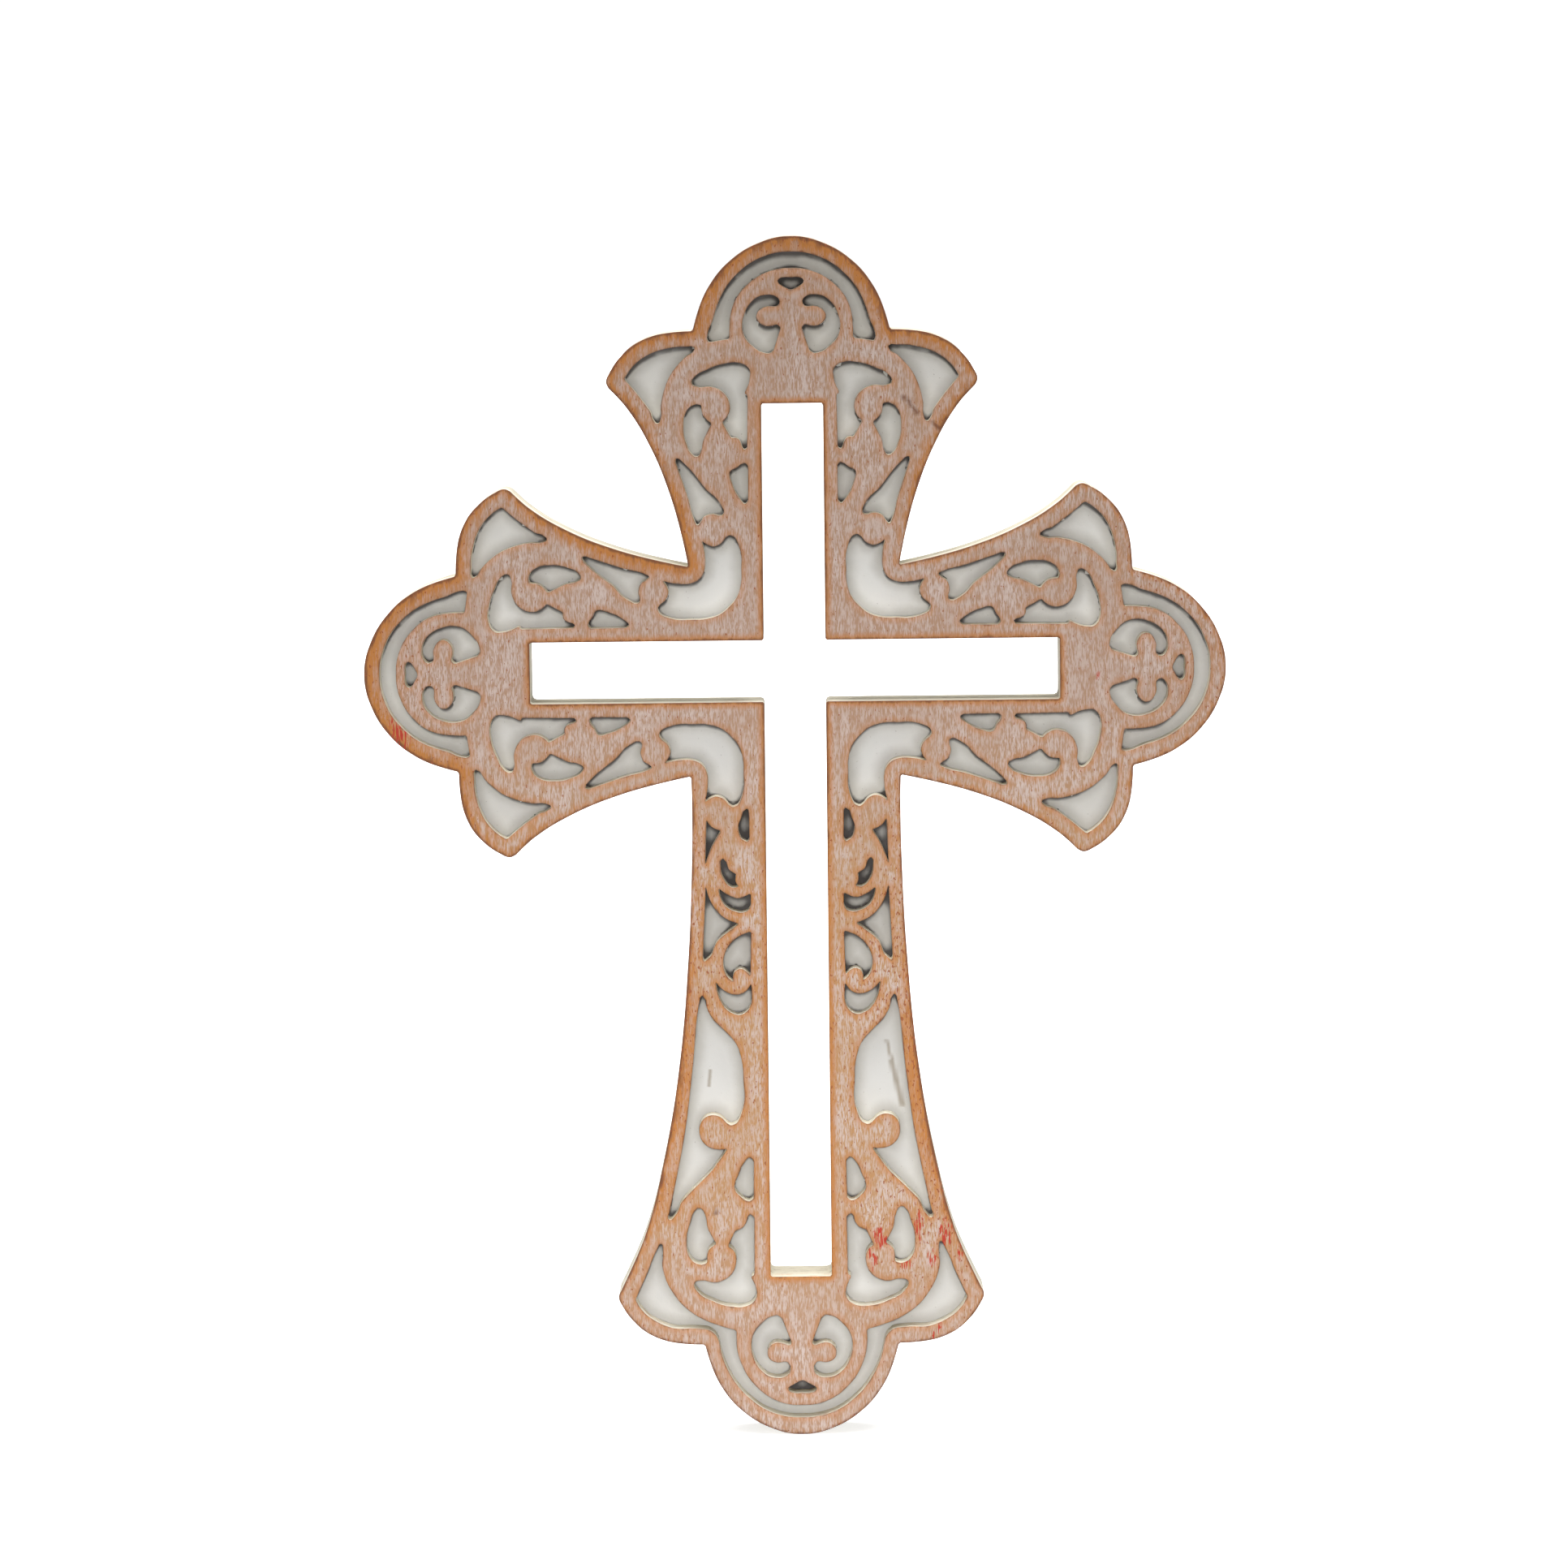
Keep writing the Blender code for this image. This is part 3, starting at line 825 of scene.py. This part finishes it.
def recess_floor(w, settings, speckle):
    """White paint, with painted shade along the walls, darkest under upper walls and in narrow
    ends.
    """
    dimmest, dots_strength, scratch_strength = 0.26, 0.35, 0.75
    # The paint is darker towards the bottom of the cross
    dim = w.fade(w.across("Z"), *DIM_PAINT, to_value=dimmest)
    paint = w.mix(dim, settings.paint, settings.grey_shade_and_specks)
    uneven = w.math("MULTIPLY", w.math("SUBTRACT", speckle["Clouds"], 0.5), 3.4)
    deeper_shade_and_unpainted = w.attribute("deeper_shade_and_unpainted")

    # Painted shade: grey along the walls, wider where the recess is darkest
    soft = w.plus(w.math("ADD", w.attribute("from_wall"), uneven), deeper_shade_and_unpainted, -1.5)
    grey = w.fade(soft, -0.4, 5.0, from_value=0.42, to_value=0.0)
    floor = w.mix(grey, paint, settings.grey_shade_and_specks)
    # Painted shadow under the upper walls
    above = w.plus(w.attribute("from_above"), uneven, 0.4)
    reach = w.math("ADD", 2.1, deeper_shade_and_unpainted)
    under = w.fade(above, 0.7, reach, from_value=0.95, to_value=0.0)
    floor = w.mix(under, floor, settings.deep_shade_and_unpainted)
    # Painted deep shade in the narrow ends, where little room is round a place; partly dark
    # unpainted board
    room = w.plus(w.plus(w.attribute("room"), deeper_shade_and_unpainted, -0.26), uneven, 0.03)
    narrow = w.fade(room, 0.34, 0.58, from_value=0.96, to_value=0.0)
    floor = w.mix(narrow, floor, settings.deep_shade_and_unpainted)

    dots = w.math("MULTIPLY", speckle["Dots"], dots_strength)
    floor = w.mix(dots, floor, settings.grey_shade_and_specks)
    scratch = w.math("MULTIPLY", w.attribute("scratch"), scratch_strength)
    return w.mix(scratch, floor, settings.scuff)


def bare_back(w, settings, groups):
    """Bare brown board, with paint carried over its rim."""
    paint_strength = 0.7
    patchy = w.noise(BARE_BOARD, detail=4.0, roughness=0.7, shift=(2.0, 2.0, 7.0))
    patchy = w.fade(patchy, 0.35, 0.7, to_value=0.5)
    bare = w.mix(patchy, settings.raw_board, settings.scuff)
    band = edge_band(w, groups, w.attribute("from_rim"), reach=4.0, raggedness=6.0)
    return w.mix(w.math("MULTIPLY", band, paint_strength), bare, settings.edge_cream)


def painted_board(settings, groups):
    """White paint in the recesses, cream on the edges, bare at the back."""
    rubbed_walls = 0.75
    material, w, shader = new_material("painted_board", settings.paint)
    speckle = w.group(groups["speckle"])
    floor = recess_floor(w, settings, speckle)
    rub = w.group(groups["rub"])["Rubbed"]
    edge = w.mix(w.math("MULTIPLY", rub, rubbed_walls), settings.edge_cream, settings.scuff)
    back = bare_back(w, settings, groups)

    depth = w.math("SUBTRACT", w.across("Y"), BOARD_FRONT)
    surface = w.mix(w.fade(depth, *BOARD_WALL), floor, edge)
    surface = w.mix(w.fade(depth, *BOARD_BACK), surface, back)
    w.feed(shader.inputs["Base Color"], surface)
    rough = w.fade(speckle["Clouds"], 0.3, 0.7, from_value=0.5, to_value=0.65)
    w.feed(shader.inputs["Roughness"], rough)
    bumped(w, shader, speckle["Height"], strength=0.25)
    return material


def shared_groups():
    """The node groups that the materials share, built once."""
    made = bpy.data.node_groups
    if "upright_grain" not in made:
        wood_grain_group()
        edge_band_group()
        speckle_group()
        rubbed_group()
    return {
        "grain": made["upright_grain"],
        "band": made["ragged_edge_band"],
        "speckle": made["paint_speckle"],
        "rub": made["rubbed_edge"],
    }


# Pieces

class WALLCROSS_OT_fretwork_panel(bpy.types.Operator):
    """Build the stained fretwork panel over its solid"""

    bl_idname = "wallcross.fretwork_panel"
    bl_label = "Fretwork Panel"

    def execute(self, context):
        settings = context.scene.wallcross_fretwork
        outlines = redrawn("fretwork_panel", settings)
        mesh = flat_solid(
            "dressed_fretwork_panel", outlines,
            BOARD_FRONT - HAIR_GAP, PANEL_FRONT, settings.arris,
        )
        split_flat(mesh, PANEL_FRONT, -1, settings.face_step)
        places = [vert.co for vert in mesh.vertices]
        edges = {
            "from_rim": outlines[:1],
            "from_window": outlines[1:2],
            "from_fret": outlines[2:],
        }
        for name, nearby in edges.items():
            tree = wall_tree(nearby, PANEL_FRONT, BOARD_FRONT)
            store(mesh, name, distances(places, tree))
        store(mesh, "red_wear", patches(mesh, RED_WEAR))
        store(mesh, "rusted", patches(mesh, RUSTED))
        store(mesh, "specked", patches(mesh, SPECKED))
        store(mesh, "scratch", scratches(mesh, PANEL_SCRATCHES))
        material = stained_wood(settings, shared_groups())
        piece = finished_piece("dressed_fretwork_panel", mesh, material)
        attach(piece, "root")
        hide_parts("fretwork_panel")
        return {"FINISHED"}


class WALLCROSS_OT_back_board(bpy.types.Operator):
    """Build the painted back board over its solid"""

    bl_idname = "wallcross.back_board"
    bl_label = "Back Board"

    def execute(self, context):
        settings = context.scene.wallcross_board
        outlines = redrawn("back_board", settings)
        mesh = flat_solid(
            "dressed_back_board", outlines, 0.0, BOARD_FRONT, settings.arris,
        )
        cuts = redrawn("fretwork_panel", settings)
        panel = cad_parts["fretwork_panel"].data
        cover = BVHTree.FromPolygons(
            [vert.co for vert in panel.vertices],
            [tuple(face.vertices) for face in panel.polygons],
        )
        towards_front = Vector((0.0, -1.0, 0.0))

        def open_above(place):
            return cover.ray_cast(place, towards_front)[0] is None

        split_flat(
            mesh, BOARD_FRONT, -1, settings.face_step, settings.hidden_step, open_above,
        )
        split_flat(mesh, 0.0, 1, settings.hidden_step)
        rim = wall_tree(outlines[:1], PANEL_FRONT, 0.0)
        walls = wall_tree(cuts, PANEL_FRONT, 0.0)
        places = [vert.co for vert in mesh.vertices]
        shown = [open_above(place) for place in places]
        away = distances(places, walls)
        store(mesh, "from_rim", distances(places, rim))
        store(mesh, "from_wall", [far if seen else -far for far, seen in zip(away, shown)])
        above, room = recess_shade(places, shown, walls)
        store(mesh, "from_above", above)
        store(mesh, "room", room)
        store(mesh, "deeper_shade_and_unpainted", patches(mesh, DEEPER_SHADE_AND_UNPAINTED))
        store(mesh, "scratch", scratches(mesh, BOARD_SCRATCHES))
        material = painted_board(settings, shared_groups())
        piece = finished_piece("dressed_back_board", mesh, material)
        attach(piece, "root")
        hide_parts("back_board")
        return {"FINISHED"}


# Stage

def white_floor(settings):
    """A floor under the foot that glows a little and lights nothing."""
    shape = bmesh.new()
    bmesh.ops.create_grid(
        shape, x_segments=1, y_segments=1, size=settings.floor_size / 2,
        matrix=Matrix.Translation((0.0, 0.0, FOOT)),
    )
    mesh = bpy.data.meshes.new("floor")
    shape.to_mesh(mesh)
    shape.free()
    material, _, shader = new_material("white_floor", settings.floor_colour)
    shader.inputs["Base Color"].default_value = (*settings.floor_colour, 1.0)
    shader.inputs["Roughness"].default_value = FLOOR_ROUGHNESS
    shader.inputs["Emission Color"].default_value = WHITE
    shader.inputs["Emission Strength"].default_value = settings.floor_glow
    mesh.materials.append(material)
    floor = bpy.data.objects.new("floor", mesh)
    bpy.context.scene.collection.objects.link(floor)
    floor.visible_diffuse = False


def studio_world(settings):
    """Surroundings that the camera sees as white, and that light the cross less."""
    world = bpy.data.worlds.new("studio")
    world.use_nodes = True
    sky = world.node_tree.nodes["Background"]
    sky.inputs["Color"].default_value = WHITE
    w = Wiring(world.node_tree)
    seen = w.add("ShaderNodeLightPath").outputs["Is Camera Ray"]
    strength = w.fade(seen, 0.0, 1.0, settings.world_light, SEEN_WORLD)
    w.feed(sky.inputs["Strength"], strength)
    return world


def new_light(name, kind, place, aim, power):
    """A light that faces a point."""
    lamp = bpy.data.lights.new(name, kind)
    lamp.energy = power
    light = bpy.data.objects.new(name, lamp)
    light.location = place
    light.rotation_euler = (Vector(aim) - Vector(place)).to_track_quat("-Z", "Y").to_euler()
    bpy.context.scene.collection.objects.link(light)
    return lamp


def studio_lights(settings):
    """A wide sun from above, a soft light in front and a narrower one on the foot."""
    sun = new_light("sun", "SUN", SUN_PLACE, (0.0, 0.0, 0.0), settings.sun_light)
    sun.angle = SUN_WIDTH
    middle = (0.0, 0.0, (CROWN + FOOT) / 2)
    key = new_light("key", "AREA", KEY_PLACE, middle, settings.key_light)
    key.size = KEY_SIZE
    low = new_light("low", "AREA", LOW_PLACE, LOW_AIM, settings.low_light)
    low.size = LOW_SIZE
    low.spread = LOW_SPREAD


def studio_camera(settings):
    """The camera, placed and turned as the settings say."""
    lens = bpy.data.cameras.new("camera")
    lens.sensor_width = SENSOR_WIDTH
    lens.lens = settings.lens
    camera = bpy.data.objects.new("camera", lens)
    turn = Matrix.Rotation(settings.look_left, 4, "Z")
    tilt = Matrix.Rotation(math.radians(90.0) - settings.look_down, 4, "X")
    roll = Matrix.Rotation(settings.camera_roll, 4, "Z")
    camera.matrix_world = Matrix.Translation(settings.camera_place) @ turn @ tilt @ roll
    bpy.context.scene.collection.objects.link(camera)
    return camera


class WALLCROSS_OT_stage(bpy.types.Operator):
    """Set the plain floor, the soft light and the camera"""

    bl_idname = "wallcross.stage"
    bl_label = "Stage"

    def execute(self, context):
        settings = context.scene.wallcross_stage
        scene = context.scene
        white_floor(settings)
        scene.world = studio_world(settings)
        studio_lights(settings)
        scene.camera = studio_camera(settings)
        scene.view_settings.view_transform = "Standard"
        return {"FINISHED"}


class WALLCROSS_PT_sidebar(bpy.types.Panel):
    """Lists the wall cross's pieces and settings"""

    bl_idname = "WALLCROSS_PT_sidebar"
    bl_label = "Wall Cross"
    bl_space_type = "VIEW_3D"
    bl_region_type = "UI"
    bl_category = "Wall Cross"

    def draw(self, context):
        for operator, name in SECTIONS:
            box = self.layout.box()
            box.operator(operator.bl_idname)
            group = getattr(context.scene, name)
            for key in type(group).__annotations__:
                box.prop(group, key)


SECTIONS = (
    (WALLCROSS_OT_fretwork_panel, "wallcross_fretwork"),
    (WALLCROSS_OT_back_board, "wallcross_board"),
    (WALLCROSS_OT_stage, "wallcross_stage"),
)
SETTINGS = {
    "wallcross_fretwork": FretworkSettings,
    "wallcross_board": BoardSettings,
    "wallcross_stage": StageSettings,
}
CLASSES = (
    FretworkSettings,
    BoardSettings,
    StageSettings,
    WALLCROSS_OT_fretwork_panel,
    WALLCROSS_OT_back_board,
    WALLCROSS_OT_stage,
    WALLCROSS_PT_sidebar,
)


def register():
    for kind in CLASSES:
        bpy.utils.register_class(kind)
    for name, kind in SETTINGS.items():
        setattr(bpy.types.Scene, name, bpy.props.PointerProperty(type=kind))


def unregister():
    for name in SETTINGS:
        delattr(bpy.types.Scene, name)
    for kind in reversed(CLASSES):
        bpy.utils.unregister_class(kind)


def main():
    register()
    bpy.ops.wallcross.fretwork_panel()
    bpy.ops.wallcross.back_board()
    bpy.ops.wallcross.stage()


if __name__ == "__main__":
    main()
